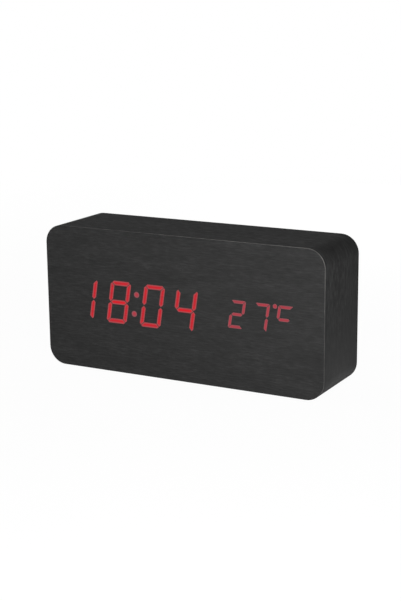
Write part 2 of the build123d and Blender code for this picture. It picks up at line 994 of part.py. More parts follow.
def contact_strips():
    """Five nickel strips: two ends with tails through the floor, and three that bridge two cells."""
    strips = []
    right = tray_right_x - contact_thickness
    for number in (0, cell_count - 1):
        strip = extrude(Plane.YZ.offset(right) * contact_face(number, number), contact_thickness)
        tail_width = cell_y - contact_tail_y
        tail = Pos(contact_tail_y + tail_width / 2, cell_z(number)) * Rectangle(
            tail_width, contact_tail_width
        )
        strips.append(strip + extrude(Plane.YZ.offset(right) * tail, contact_thickness))
    for first in range(cell_count - 1):
        start = tray_left_x if positive_is_right(first) else right
        strips.append(extrude(Plane.YZ.offset(start) * contact_face(first, first + 1), contact_thickness))
    return together(strips)


def arc_pair(start, start_way, end, end_way):
    """Two tangent arcs that leave start along one direction and reach end along another."""
    gap = end - start
    ways = start_way + end_way
    spread = 2 * (1 - start_way.dot(end_way))
    reach = gap.dot(ways)
    length = (-reach + (reach**2 + spread * gap.dot(gap)) ** 0.5) / spread
    joint = (start + start_way * length + end - end_way * length) / 2
    first = TangentArc(start, joint, tangent=start_way)
    return [first, TangentArc(joint, end, tangent=first % 1)]


def spring_state(turn):
    """Point and direction on the conical coil after a number of turns, along X from the strip."""
    rise = spring_length - spring_foot_length - spring_wire / 2
    angle = 2 * pi * turn
    share = turn / spring_turns
    radius = spring_base_radius + (spring_tip_radius - spring_base_radius) * share
    shrink = (spring_tip_radius - spring_base_radius) / (2 * pi * spring_turns)
    climb = rise / (2 * pi * spring_turns)
    point = Vector(spring_foot_length + rise * share, radius * cos(angle), radius * sin(angle))
    way = Vector(
        climb, shrink * cos(angle) - radius * sin(angle), shrink * sin(angle) + radius * cos(angle)
    )
    return point, way.normalized()


def spring_path():
    """Wire line of a contact spring: a straight foot out of the strip, then the coil."""
    point, way = spring_state(0)
    out = Vector(1, 0, 0)
    foot = Vector(0, point.Y, point.Z - spring_foot_step)
    knee = foot + out * spring_wire
    pieces = [Line(foot, knee), *arc_pair(knee, out, point, way)]
    for quarter in range(4 * spring_turns):
        start, end = spring_state(quarter / 4), spring_state((quarter + 1) / 4)
        pieces += arc_pair(*start, *end)
    point, way = spring_state(spring_turns)
    pieces.append(Line(point, point + way * spring_wire))
    return Wire(pieces)


def contact_spring():
    path = spring_path()
    foot = Plane(origin=path @ 0, z_dir=path % 0)
    return sweep(foot * Circle(spring_wire / 2), path)


def spring_gap_to_itself():
    """Least gap between two turns, measured on points along the wire."""
    path = spring_path()
    steps = 60 * spring_turns
    points = [path @ (k / steps) for k in range(steps + 1)]
    apart = steps // (2 * spring_turns)
    pairs = [(a, b) for k, a in enumerate(points) for b in points[k + apart :]]
    return min((a - b).length for a, b in pairs) - spring_wire


def contact_springs():
    """The four coil springs at the cells' flat ends."""
    spring = contact_spring()
    springs = []
    for number in range(cell_count):
        z = cell_z(number)
        if positive_is_right(number):
            springs.append(Pos(tray_left_x + contact_thickness, cell_y, z) * spring)
        else:
            springs.append(Pos(tray_right_x - contact_thickness, cell_y, z) * Rot(0, 180, 0) * spring)
    return together(springs)


# Moulded panel, door and controls


def panel_tray(panel):
    """Adds the battery compartment to the panel."""
    outer_length, outer_height = tray_length + 2 * panel_wall, panel_body_height
    panel += rounded_block(
        outer_length,
        outer_height,
        panel_body_corner_radius,
        tray_back_y,
        flange_seat_y + cut_overrun,
        tray_x,
        middle_z,
    )
    behind = back_face_y + cut_overrun
    panel -= block(tray_length, tray_height, tray_floor_y, behind, tray_x, middle_z)
    spacing = tray_length / (cradle_count + 1)
    for number in range(cradle_count):
        x = tray_left_x + (number + 1) * spacing
        top_y = tray_floor_y + cradle_height
        panel += block(cradle_thickness, tray_height, tray_floor_y, top_y, x, middle_z)
    room = cell_diameter + 2 * cradle_clearance
    for number in range(cell_count):
        start = tray_left_x + contact_thickness
        length = tray_length - 2 * contact_thickness
        panel -= lying_cylinder(room, start, length, cell_y, cell_z(number))
    slot_width = contact_tail_width + 2 * contact_slot_clearance
    slot_thickness = contact_thickness + contact_slot_clearance
    slot_x = tray_right_x - slot_thickness / 2
    for number in (0, cell_count - 1):
        before, above = tray_back_y - cut_overrun, tray_floor_y + cut_overrun
        panel -= block(slot_thickness, slot_width, before, above, slot_x, cell_z(number))
    return panel


def panel_controls(panel):
    """Adds the skirt, pocket, holes and bosses of the control area to the panel."""
    skirt_y = flange_seat_y + cut_overrun
    panel += rounded_block(
        control_width + panel_wall,
        panel_body_height,
        panel_body_corner_radius,
        board_front_y,
        skirt_y,
        control_x + panel_wall / 2,
        middle_z,
    )
    room_width, room_height = control_width - panel_wall, panel_body_height - 2 * panel_wall
    room_x = control_x + panel_wall / 2
    panel -= block(
        room_width, room_height, board_front_y - cut_overrun, pocket_inner_y, room_x, middle_z
    )
    behind = back_face_y + cut_overrun
    panel -= rounded_block(
        control_width - 2 * pocket_margin,
        panel_body_height - 2 * pocket_margin,
        pocket_corner_radius,
        pocket_floor_y,
        behind,
        control_x,
        middle_z,
    )
    before = pocket_inner_y - cut_overrun
    hole = button_diameter + 2 * button_clearance
    for x in button_xs().values():
        panel -= disc(hole, before, behind, x, button_z)
    panel -= slab(socket_outline(socket_clearance), before, behind)
    panel -= disc(vent_diameter, before, behind, sensor_x, socket_z)
    for number in range(vent_count):
        angle = 2 * pi * number / vent_count
        x = sensor_x + vent_ring_diameter / 2 * cos(angle)
        z = socket_z + vent_ring_diameter / 2 * sin(angle)
        panel -= disc(vent_diameter, before, behind, x, z)
    pilot = control_screw_diameter + 2 * thread_clearance
    for x, z in control_screw_places():
        reach = panel_body_height / 2 - panel_wall / 2 - abs(z - middle_z)
        rib_z = z + (reach if z > middle_z else -reach) / 2
        panel += block(control_rib_thickness, reach, board_front_y, pocket_inner_y, x, rib_z)
        panel += disc(control_boss_diameter, control_board_face_y, pocket_inner_y, x, z)
        tip_y = control_board_inner_y + control_screw_length
        panel -= disc(pilot, control_board_face_y - cut_overrun, tip_y, x, z)
    return panel


def service_panel():
    """Moulded panel that closes the back: flange, battery compartment and control area."""
    panel = rounded_block(
        panel_width, panel_height, panel_corner_radius, flange_seat_y, back_face_y, panel_x, middle_z
    )
    panel = fillet(panel.faces().sort_by(Axis.Y)[-1].edges(), panel_edge_radius)
    panel = panel_controls(panel_tray(panel))
    behind = back_face_y + cut_overrun
    room = 2 * door_gap
    panel -= block(door_width + room, door_height + room, door_seat_y, behind, tray_x, middle_z)
    notch_height = thumb_notch_height + cut_overrun
    notch_z = door_bottom_z - door_gap - thumb_notch_height + notch_height / 2
    notch_y = back_face_y - thumb_notch_depth
    panel -= block(thumb_notch_width, notch_height, notch_y, behind, tray_x, notch_z)
    hole_length = door_width + 2 * (pivot_length + pivot_end_gap)
    hole = 2 * (pivot_radius + pivot_clearance)
    panel -= lying_cylinder(hole, tray_x - hole_length / 2, hole_length, hinge_y, hinge_z)
    for x, z in panel_screw_places():
        panel -= countersink(x, z)
    return panel


def countersink(x, z):
    """Room for a panel screw."""
    extra = panel_screw_hole_clearance
    radius, head_radius = panel_screw_diameter / 2 + extra, panel_screw_head_diameter / 2 + extra
    before, behind = flange_seat_y - cut_overrun, back_face_y + cut_overrun
    seat_y = back_face_y - panel_screw_head_height
    profile = [
        (0, before),
        (radius, before),
        (radius, seat_y),
        (head_radius, back_face_y),
        (head_radius, behind),
        (0, behind),
    ]
    return turned(profile, x, z)


def panel_screws():
    size = (panel_screw_diameter, panel_screw_length)
    head = (panel_screw_head_diameter, panel_screw_head_height)
    return together([countersunk_screw(*size, *head, back_face_y, x, z) for x, z in panel_screw_places()])


def battery_door():
    """Hinged cover: round-backed top edge with a stub pivot at each end, snap leg and grip grooves."""
    half = door_thickness / 2
    side = make_face(
        Polyline(
            (door_inner_y, hinge_z),
            (door_inner_y, door_bottom_z),
            (door_outer_y, door_bottom_z),
            (door_outer_y, hinge_z),
            close=True,
        )
    )
    side += Pos(hinge_y, hinge_z) * Circle(half)
    left = tray_x - door_width / 2
    door = extrude(Plane.YZ.offset(left) * side, door_width)
    outer_face = door.faces().filter_by(Axis.Y).sort_by(Axis.Y)[-1]
    door = fillet([e for e in outer_face.edges() if e.center().Z < hinge_z - half], door_edge_radius)
    for number in range(cell_count - 1):
        rib_z = (cell_z(number) + cell_z(number + 1)) / 2
        size = (tray_length - 2 * door_rib_end_gap, door_rib_thickness)
        door += block(*size, door_inner_y - door_rib_height, door_inner_y + half, tray_x, rib_z)
    pin_length = door_width + 2 * pivot_length
    door += lying_cylinder(2 * pivot_radius, tray_x - pin_length / 2, pin_length, hinge_y, hinge_z)
    leg_bottom = tray_bottom_z + latch_clearance
    leg_y = door_inner_y - latch_reach
    leg_z = leg_bottom + latch_thickness / 2
    door += block(latch_width, latch_thickness, leg_y, door_inner_y + half, tray_x, leg_z)
    nose_z = leg_bottom - latch_nose / 2
    door += block(latch_width, latch_nose, leg_y, leg_y + latch_nose_height, tray_x, nose_z)
    for number in range(grip_groove_count):
        z = door_bottom_z + grip_inset + number * grip_groove_pitch
        groove = SlotOverall(grip_groove_length, grip_groove_width)
        front_y = door_outer_y - grip_groove_depth
        door -= slab(Pos(tray_x, z) * groove, front_y, door_outer_y + cut_overrun)
    return door


def button_xs():
    """Places of the three buttons along the row, by name."""
    return {name: control_x - step * button_pitch for name, step in BUTTONS.items()}


def button_mark(name):
    """Sunk sign on a button: a dot to set, and triangles for up and down."""
    if name == "set":
        return Circle(button_mark_size / 2)
    turn = 90 if name == "up" else -90
    return RegularPolygon(button_mark_size, 3, rotation=turn)


def button_cap(name):
    """Push button: head, retaining flange behind the panel and boss on the switch."""
    x = button_xs()[name]
    radius = button_diameter / 2
    top_y = pocket_floor_y + button_stand
    flange = radius + button_flange_width
    boss = button_boss_diameter / 2
    cap = turned(
        [
            (0, plunger_tip_y),
            (boss, plunger_tip_y),
            (boss, button_seat_y),
            (flange, button_seat_y),
            (flange, pocket_inner_y),
            (radius, pocket_inner_y),
            (radius, top_y),
            (0, top_y),
        ],
        x,
        button_z,
    )
    cap = fillet(cap.edges().group_by(Axis.Y)[-1], button_edge_radius)
    mark = Pos(x, button_z) * button_mark(name)
    return cap - slab(mark, top_y - button_mark_depth, top_y + cut_overrun)


def switch_plunger(name):
    """Moving stem of a switch, under its button."""
    x = button_xs()[name]
    low_y = control_board_face_y + switch_height - switch_plunger_seat
    return disc(switch_plunger_diameter, low_y, plunger_tip_y, x, button_z)


def switch_housings():
    """Three square switch bodies with the well for the stem and four rivet heads."""
    bodies = []
    top_y = control_board_face_y + switch_height
    well = switch_plunger_diameter + 2 * switch_plunger_clearance
    well_y = top_y - switch_plunger_seat - switch_travel_room
    rivet = switch_side / 2 - switch_rivet_diameter
    for x in button_xs().values():
        body = block(switch_side, switch_side, control_board_face_y, top_y, x, button_z)
        body = chamfer(body.edges().filter_by(Axis.Y), switch_edge_chamfer)
        for sx in (-1, 1):
            for sz in (-1, 1):
                place = (x + sx * rivet, button_z + sz * rivet)
                body += disc(switch_rivet_diameter, top_y, top_y + switch_rivet_height, *place)
        bodies.append(body - disc(well, well_y, top_y + cut_overrun, x, button_z))
    return together(bodies)


def control_board():
    """Small board behind the control area."""
    board = rounded_block(
        control_board_side,
        control_board_side,
        board_corner_radius,
        control_board_inner_y,
        control_board_face_y,
        control_x,
        middle_z,
    )
    hole = control_screw_diameter + 2 * board_hole_clearance
    before, behind = control_board_inner_y - cut_overrun, control_board_face_y + cut_overrun
    return board - [disc(hole, before, behind, x, z) for x, z in control_screw_places()]


def control_board_screws():
    """Pan-head screws that come from the inside, so they point to the back."""
    size = (control_screw_diameter, control_screw_length)
    head = (control_screw_head_diameter, control_screw_head_height)
    turned_round = [
        Pos(x, control_board_inner_y, z) * Rot(180, 0, 0) * screw(*size, *head, 0, 0, 0)
        for x, z in control_screw_places()
    ]
    return together(turned_round)


def socket_outline(grow):
    """Mouth of the power socket: flat above, bevelled below."""
    half_w, half_h = socket_width / 2 + grow, socket_height / 2 + grow
    points = [
        (-half_w, half_h),
        (half_w, half_h),
        (half_w, socket_bevel - half_h),
        (half_w - socket_bevel, -half_h),
        (socket_bevel - half_w, -half_h),
        (-half_w, socket_bevel - half_h),
    ]
    return Pos(socket_x, socket_z) * make_face(Polyline(*points, close=True))


def socket_shell():
    """Folded steel shell of the power socket, standing on the control board."""
    shell = slab(socket_outline(0), control_board_face_y, socket_mouth_y)
    floor_y = control_board_face_y + socket_base_thickness
    return shell - slab(socket_outline(-socket_wall), floor_y, socket_mouth_y + cut_overrun)


def socket_tongue():
    """Contact tongue inside the power socket."""
    floor_y = control_board_face_y + socket_base_thickness
    return block(tongue_width, tongue_thickness, floor_y, floor_y + tongue_length, socket_x, socket_z)


def temperature_sensor():
    """Thermistor bead on two leads, behind the vent holes."""
    top_y = pocket_inner_y - sensor_gap
    radius = sensor_bead_diameter / 2
    low_y = top_y - sensor_bead_length
    bead = turned(
        [
            (0, low_y),
            (radius / 2, low_y),
            (radius, low_y + radius),
            (radius, top_y - radius / 2),
            (radius / 2, top_y),
            (0, top_y),
        ],
        sensor_x,
        socket_z,
    )
    for side in (-1, 1):
        x = sensor_x + side * sensor_lead_spacing / 2
        bead += disc(sensor_lead_diameter, control_board_face_y, low_y + radius, x, socket_z)
    return bead


# Leads


def bent_path(points):
    """Straight runs joined by arcs that are as large as the runs allow. Prints the arcs' radii."""
    runs = [b - a for a, b in zip(points, points[1:])]
    radii = []
    for before, after in zip(runs, runs[1:]):
        turn = radians(before.get_angle(after))
        radii.append(bend_share * min(before.length, after.length) / tan(turn / 2))
    print("lead bend radii", [round(r, 2) for r in radii])
    return FilletPolyline(*points, radius=radii)


def swept(section, path):
    start = Plane(origin=path @ 0, x_dir=(1, 0, 0), z_dir=path % 0)
    return sweep(start * section, path)


def battery_lead(cell_number, way):
    """Wire from the power header to a contact's tail, all at one x, run along half-way between."""
    x, start_z, end_z = contact_tail_x(), middle_z + way * header_pitch / 2, cell_z(cell_number)
    half = (contact_tail_y - header_face_y) / 2
    out, slope = Vector(0, lead_exit, 0), Vector(0, half - lead_exit, way * (half - lead_exit))
    start, end = Vector(x, header_face_y, start_z), Vector(x, contact_tail_y, end_z)
    points = [start, start + out, start + out + slope, end - out - slope, end - out, end]
    return swept(Circle(lead_diameter / 2), bent_path(points))


def control_ribbon():
    """Flat lead from the main board's header to the control board."""
    start = Vector(control_x, header_face_y, middle_z + ribbon_header_rise)
    end = Vector(control_x, control_board_inner_y, middle_z + ribbon_landing_rise)
    out = Vector(0, ribbon_exit, 0)
    section = RectangleRounded(ribbon_width, ribbon_thickness, ribbon_thickness / 3)
    return swept(section, bent_path([start, start + out, end - out, end]))


def clock_pieces():
    """Every piece of the clock, by node name."""
    pieces = {
        "case_body": case_body(),
        "front_sheet": front_sheet(),
        "back_board": back_board(),
        "back_sheet": back_sheet(),
        "display_diffuser": diffuser(),
        "time_reflector": reflector("time", time_cells, time_cell_draft),
        "temperature_reflector": reflector("temperature", temperature_cells, temperature_cell_draft),
        "time_light_guides": light_guides(time_cells, time_cell_draft),
        "temperature_light_guides": light_guides(temperature_cells, temperature_cell_draft),
        "lamp_chips": lamp_chips(),
        "main_board": main_board(),
        "main_board_spacers": board_spacers(),
        "main_board_screws": main_board_screws(),
        "clock_chip": clock_chip(),
        "clock_crystal": clock_crystal(),
        "buzzer": buzzer(),
        "backup_cell": backup_cell(),
        "backup_cell_holder": backup_cell_holder(),
        "backup_cell_clip": backup_cell_clip(),
        "microphone": microphone(),
        "capacitors": capacitors(),
        "power_header": power_header(),
        "ribbon_header": ribbon_header(),
        "service_panel": service_panel(),
        "service_panel_screws": panel_screws(),
        "battery_door": battery_door(),
        "battery_contacts": contact_strips(),
        "battery_springs": contact_springs(),
        "control_board": control_board(),
        "control_board_screws": control_board_screws(),
        "switch_housings": switch_housings(),
        "power_socket_shell": socket_shell(),
        "power_socket_tongue": socket_tongue(),
        "temperature_sensor": temperature_sensor(),
        "positive_lead": battery_lead(0, 1),
        "negative_lead": battery_lead(cell_count - 1, -1),
        "control_ribbon": control_ribbon(),
    }
    for name, shape in lit_pieces().items():
        pieces[name + "_lit"] = shape
    for name in BUTTONS:
        pieces[name + "_button"] = button_cap(name)
        pieces[name + "_switch_plunger"] = switch_plunger(name)
    for number in range(cell_count):
        pieces[f"battery_cell_{number + 1}"] = battery_cell(number)
    return pieces


os.makedirs("parts", exist_ok=True)
for name, shape in clock_pieces().items():
    export_step(shape, f"parts/{name}.step")
print("least gap between turns of a contact spring", round(spring_gap_to_itself(), 2))
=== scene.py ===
import math

import bmesh
import bpy
from mathutils import Matrix, Vector

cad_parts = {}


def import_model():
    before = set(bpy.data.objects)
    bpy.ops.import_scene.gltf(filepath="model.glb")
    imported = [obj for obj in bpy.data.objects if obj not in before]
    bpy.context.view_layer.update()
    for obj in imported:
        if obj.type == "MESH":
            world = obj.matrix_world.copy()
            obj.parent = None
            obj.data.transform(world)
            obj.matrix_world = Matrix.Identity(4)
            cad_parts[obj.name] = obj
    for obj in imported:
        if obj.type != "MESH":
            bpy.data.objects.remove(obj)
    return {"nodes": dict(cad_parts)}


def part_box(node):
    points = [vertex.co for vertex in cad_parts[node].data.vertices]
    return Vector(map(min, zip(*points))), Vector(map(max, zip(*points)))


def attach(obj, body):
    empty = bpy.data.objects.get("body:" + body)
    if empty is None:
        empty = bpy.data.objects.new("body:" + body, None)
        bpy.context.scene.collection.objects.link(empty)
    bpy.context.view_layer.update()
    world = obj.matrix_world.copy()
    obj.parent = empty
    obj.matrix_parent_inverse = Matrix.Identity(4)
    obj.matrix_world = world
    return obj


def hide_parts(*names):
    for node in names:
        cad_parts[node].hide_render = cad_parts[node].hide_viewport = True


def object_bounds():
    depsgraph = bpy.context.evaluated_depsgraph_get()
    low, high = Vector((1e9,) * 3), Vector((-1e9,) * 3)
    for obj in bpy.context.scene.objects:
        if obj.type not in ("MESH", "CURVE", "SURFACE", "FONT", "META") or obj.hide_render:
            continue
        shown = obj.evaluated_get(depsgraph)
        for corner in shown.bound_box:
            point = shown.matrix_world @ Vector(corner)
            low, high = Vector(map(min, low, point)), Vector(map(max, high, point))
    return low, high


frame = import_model()
cad_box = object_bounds()

# Looks of a desk clock with a foil-covered wooden case and a red seven-segment display.
# Lengths are in metres and the axes are the model's: +X to the right as the display is read,
# +Y to the back, +Z up. Inside a material, places are in millimetres on the same axes.

MM = 0.001
LOW, HIGH = (corner / MM for corner in cad_box)
WHITE = (1, 1, 1, 1)

# Camera, from the picture's vanishing points and the case's corners. Its angles are in degrees and
# its lens in millimetres.
CAMERA_YAW = 28.70
CAMERA_PITCH = 13.58
CAMERA_ROLL = -0.605
CAMERA_DISTANCE = 0.663
CAMERA_TARGET = Vector((0.00088, 0, 0.03567))
CAMERA_LENS = 81.68
CAMERA_CLIP = (0.01, 200.0)

# Details of the pieces, fitted to the sizes in the CAD source
CORNER_RADIUS_MM = 9.0
SHEET_EDGE_MM = 0.35
MIDDLE_BAR_MM = 2.2
BUTTON_SIGN_REACH_MM = 1.3
BUTTON_SIGN_DEPTH_MM = 0.25
CELL_BARE_END_MM = 1.9
CELL_BAND_BLUR_MM = 0.1
RIBBON_WAY_MM = 1.28

# Centres of the case's corner rounds
ROUND_X = HIGH.x - CORNER_RADIUS_MM
ROUND_LOW_Z = LOW.z + CORNER_RADIUS_MM
ROUND_HIGH_Z = HIGH.z - CORNER_RADIUS_MM

# Foil: its middle grey in 8-bit display values, and the case's coarser grain, calm low on the sides
FOIL_MIDDLE = 49
FOIL_RELIEF_MM = 0.04
CASE_GRAIN_WIDTH = 2.4
CASE_GRAIN_CONTRAST = 1.3
CASE_SKIN_MM = 0.15
CALM_BELOW_MM = 18.0
CALM_UP_TO_MM = 62.0
CALM_SHARE = 0.8
# Painted shade on the case's two upper corner rounds: its strongest share, and the share of the corner
# radius over which it grows to full strength
BEND_PAINTED_SHADE_SHARE = 0.25
BEND_SHADE_FULL_SHARE = 0.7

# Lighter front arris, partly wear and partly painted highlight, growing with x plus the upwards factor
# times z, so that the painted highlight is strongest at the upper right
WEAR_AND_HIGHLIGHT_FROM_MM = 200.0
WEAR_AND_HIGHLIGHT_TO_MM = 340.0
WEAR_AND_HIGHLIGHT_UPWARDS = 4.0
WEAR_AND_HIGHLIGHT_LEAST = 0.3

# Plastics: width of their broad patches, against that of their grain
PATCH_TO_GRAIN = 40

# Lit windows: their rims, and how near points and faces lie that count as one
TIME_RIM_MM = 0.6
SOFT_RIM_MM = 0.33
RIM_SINK_MM = 0.08
WELD_MM = 0.001
FRONT_WITHIN_MM = 0.01
FLAT_WITHIN_DEGREES = 1
MIDDLE_BAR_SHARE = 0.8

# Sky: strength of its light up to the horizon, and where the direction's z is SKY_TOP_FROM or more
SKY_LIGHT_LOW = 0.29
SKY_LIGHT_TOP = 0.06
SKY_TOP_FROM = 0.5

# Floor: nearly white near the object, and white from some way off. Its reach is in metres.
FLOOR_REACH = 40.0
FLOOR_GAP_MM = 0.05
FLOOR_WHITE_SHARE = 0.965
FLOOR_SHADOW_MM = 200.0
FLOOR_WHITE_FROM_MM = 700.0


def tone(red, green, blue):
    """Linear colour of a shade given in 8-bit display values."""

    def linear(value):
        value /= 255
        return value / 12.92 if value <= 0.04045 else ((value + 0.055) / 1.055) ** 2.4

    return linear(red), linear(green), linear(blue), 1.0


def grey(value):
    """Linear colour of a neutral grey given as an 8-bit display value."""
    return tone(value, value, value)


class Nodes:
    """A node tree, with short forms for the nodes that are added to it."""

    def __init__(self, tree):
        self.tree = tree

    def node(self, kind, *values, **settings):
        """Adds a node. Values go to its first sockets, as links or as constants."""
        made = self.tree.nodes.new(kind)
        for key, value in settings.items():
            socket = key.replace("_", " ")
            if socket in made.inputs:
                self.feed(made.inputs[socket], value)
            else:
                setattr(made, key, value)
        for socket, value in zip(made.inputs, values):
            self.feed(socket, value)
        return made

    def feed(self, socket, value):
        """Links an output to a socket, or sets a constant on it."""
        if isinstance(value, bpy.types.NodeSocket):
            self.tree.links.new(value, socket)
        else:
            socket.default_value = value

    def math(self, operation, *values):
        return self.node("ShaderNodeMath", *values, operation=operation).outputs[0]

    def times(self, first, second):
        return self.math("MULTIPLY", first, second)

    def plus(self, first, second):
        return self.math("ADD", first, second)

    def minus(self, first, second):
        return self.math("SUBTRACT", first, second)

    def excess(self, value, limit):
        """What a value has over a limit, and otherwise 0."""
        return self.math("MAXIMUM", self.minus(value, limit), 0.0)

    def blend(self, first, second, share):
        """Sum of two values, the first with the given share and the second with the rest."""
        return self.plus(self.times(first, share), self.times(second, 1 - share))

    def spread(self, value, low, high, new_low=0.0, new_high=1.0, smooth=False):
        """Maps low..high of a value to new_low..new_high, held at the ends."""
        kind = "SMOOTHSTEP" if smooth else "LINEAR"
        return self.node(
            "ShaderNodeMapRange", value, low, high, new_low, new_high, interpolation_type=kind
        ).outputs[0]

    def in_view(self):
        """1 for what the camera sees directly, in gloss or through glass, and otherwise 0."""
        paths = self.node("ShaderNodeLightPath").outputs
        direct = self.math("MAXIMUM", paths["Is Camera Ray"], paths["Is Glossy Ray"])
        return self.math("MAXIMUM", direct, paths["Is Transmission Ray"])


class Finish(Nodes):
    """A material in the making: its shader, and the place on the object in millimetres."""

    def __init__(self, name, **values):
        self.material = bpy.data.materials.new(name)
        self.material.use_nodes = True
        super().__init__(self.material.node_tree)
        self.shader = self.tree.nodes["Principled BSDF"]
        for socket, value in values.items():
            self.shader.inputs[socket.replace("_", " ")].default_value = value
        coordinates = self.node("ShaderNodeTexCoord").outputs["Object"]
        self.place = self.vector("SCALE", coordinates, Scale=1 / MM)
        self.x, self.y, self.z = self.node("ShaderNodeSeparateXYZ", self.place).outputs

    def vector(self, operation, *values, **settings):
        return self.node("ShaderNodeVectorMath", *values, operation=operation, **settings).outputs[0]

    def length(self, vector):
        return self.node("ShaderNodeVectorMath", vector, operation="LENGTH").outputs["Value"]

    def point(self, x, y, z=0.0):
        return self.node("ShaderNodeCombineXYZ", x, y, z).outputs[0]

    def stretched(self, x, y, z):
        """The place, scaled by a factor on each axis."""
        return self.vector("MULTIPLY", self.place, (x, y, z))

    def noise(self, place, scale=1.0, detail=3.0, roughness=0.5):
        return self.node(
            "ShaderNodeTexNoise", Vector=place, Scale=scale, Detail=detail, Roughness=roughness
        ).outputs["Fac"]

    def vary(self, noise, new_low, new_high):
        """Maps the usual range of a noise to new_low..new_high."""
        return self.spread(noise, 0.3, 0.7, new_low, new_high)

    def ramp(self, factor, *stops):
        """Colour ramp through stops of (position, colour)."""
        made = self.node("ShaderNodeValToRGB", factor)
        elements = made.color_ramp.elements
        for _ in stops[2:]:
            elements.new(0.5)
        for element, (position, colour) in zip(elements, stops):
            element.position, element.color = position, colour
        return made.outputs["Color"]

    def shades(self, noise, dark, light, start=0.3):
        """Colour ramp over the middle of a noise's range: dark at start, light as far below 1."""
        return self.ramp(noise, (start, dark), (1 - start, light))

    def mix(self, factor, first, second):
        """Colour that goes from first to second as the factor goes from 0 to 1."""
        made = self.node("ShaderNodeMix", data_type="RGBA")
        colours = [socket for socket in made.inputs if socket.type == "RGBA"]
        for socket, value in zip([made.inputs["Factor"], *colours], (factor, first, second)):
            self.feed(socket, value)
        return [socket for socket in made.outputs if socket.type == "RGBA"][0]

    def use(self, **outputs):
        """Links outputs to the shader's sockets."""
        for socket, output in outputs.items():
            self.tree.links.new(output, self.shader.inputs[socket.replace("_", " ")])

    def bump(self, height, depth):
        """Relief of the given depth, in metres."""
        made = self.node("ShaderNodeBump", Height=height, Distance=depth, Strength=1.0)
        self.use(Normal=made.outputs[0])


# Foil and fibreboard


def perimeter(finish):
    """Distance along the case's outline from the middle of its top, in millimetres.

    It is negative on the left half of the case.
    """
    across = finish.math("ABSOLUTE", finish.x)
    near_x = finish.math("MINIMUM", across, ROUND_X)
    near_z = finish.math("MINIMUM", finish.math("MAXIMUM", finish.z, ROUND_LOW_Z), ROUND_HIGH_Z)
    out_x = finish.minus(across, near_x)
    out_z = finish.minus(finish.z, near_z)
    turn = finish.math("ARCTAN2", out_x, out_z)
    below = finish.math("LESS_THAN", out_z, -CORNER_RADIUS_MM / 2)
    flip = finish.minus(1.0, finish.times(below, 2.0))
    run = finish.plus(finish.times(finish.minus(near_x, ROUND_X), flip), ROUND_X)
    run = finish.plus(run, finish.times(turn, CORNER_RADIUS_MM))
    run = finish.plus(run, finish.minus(ROUND_HIGH_Z, near_z))
    return finish.times(run, finish.math("SIGN", finish.x))


def wood_grain(finish, along, across, contrast=1.0):
    """Charcoal wood-grain foil: sets its roughness, and returns its colour and its relief."""
    drift = finish.noise(finish.point(finish.times(along, 0.03), across, 3.0), scale=0.12, detail=2.0)
    wavy = finish.plus(across, finish.times(drift, 5.0))

    def streaks(along_scale, across_scale, layer, detail, roughness):
        place = finish.point(finish.times(along, along_scale), finish.times(wavy, across_scale), layer)
        return finish.noise(place, detail=detail, roughness=roughness)

    bands = streaks(0.035, 0.16, layer=0.0, detail=3.0, roughness=0.55)
    fibres = streaks(0.2, 1.5, layer=7.0, detail=5.0, roughness=0.62)
    pores = finish.spread(streaks(0.35, 4.5, layer=15.0, detail=2.0, roughness=0.5), 0.60, 0.70)
    shade = finish.blend(bands, fibres, 0.35)
    dark = grey(FOIL_MIDDLE - 8 * contrast)
    light = grey(FOIL_MIDDLE + 11 * contrast)
    colour = finish.ramp(shade, (0.3, dark), (0.5, grey(FOIL_MIDDLE)), (0.7, light))
    colour = finish.mix(finish.times(pores, 0.4), colour, tone(27, 27, 28))
    finish.use(Roughness=finish.vary(fibres, 0.95, 0.82))
    return colour, finish.minus(fibres, finish.times(pores, 0.5))


def fibreboard_colour(finish):
    """Brown of pressed wood fibre."""
    fibre = finish.noise(finish.stretched(1.4, 3.0, 1.4), detail=5.0, roughness=0.7)
    return finish.shades(fibre, tone(132, 104, 76), tone(176, 146, 112))


def fibreboard():
    """Raw cut board, dull and finely rough."""
    finish = Finish("fibreboard", Roughness=0.9, Specular_IOR_Level=0.2)
    finish.use(Base_Color=fibreboard_colour(finish))
    finish.bump(finish.noise(finish.place, scale=3.0, detail=4.0, roughness=0.7), 0.08 * MM)
    return finish.material


def foil_round_case():
    """Foil on the outside of the milled block, and raw fibreboard inside it.

    The grain is calmer low on the sides, and painted shade darkens the two upper corner rounds.
    """
    finish = Finish("foil_round_case", Specular_IOR_Level=0.05)
    across_grain = finish.math("DIVIDE", finish.y, CASE_GRAIN_WIDTH)
    colour, relief = wood_grain(finish, perimeter(finish), across_grain, CASE_GRAIN_CONTRAST)
    out_x = finish.excess(finish.math("ABSOLUTE", finish.x), ROUND_X)
    over = finish.excess(finish.z, ROUND_HIGH_Z)
    under = finish.excess(ROUND_LOW_Z, finish.z)
    out = finish.length(finish.point(out_x, over, under))
    outside = finish.math("GREATER_THAN", out, CORNER_RADIUS_MM - CASE_SKIN_MM)
    at_side = finish.spread(out_x, 0.0, CORNER_RADIUS_MM, smooth=True)
    calm = finish.spread(finish.z, CALM_BELOW_MM, CALM_UP_TO_MM, CALM_SHARE, 0.0, smooth=True)
    colour = finish.mix(finish.times(at_side, calm), colour, grey(FOIL_MIDDLE))
    # painted shade: the two upper corner rounds are darkened towards a deep grey
    full_shade_reach = BEND_SHADE_FULL_SHARE * CORNER_RADIUS_MM
    bend_shade = finish.spread(finish.math("MINIMUM", out_x, over), 0.0, full_shade_reach, smooth=True)
    colour = finish.mix(finish.times(bend_shade, BEND_PAINTED_SHADE_SHARE), colour, grey(16))
    finish.use(Base_Color=finish.mix(outside, fibreboard_colour(finish), colour))
    finish.bump(relief, FOIL_RELIEF_MM * MM)
    return finish.material


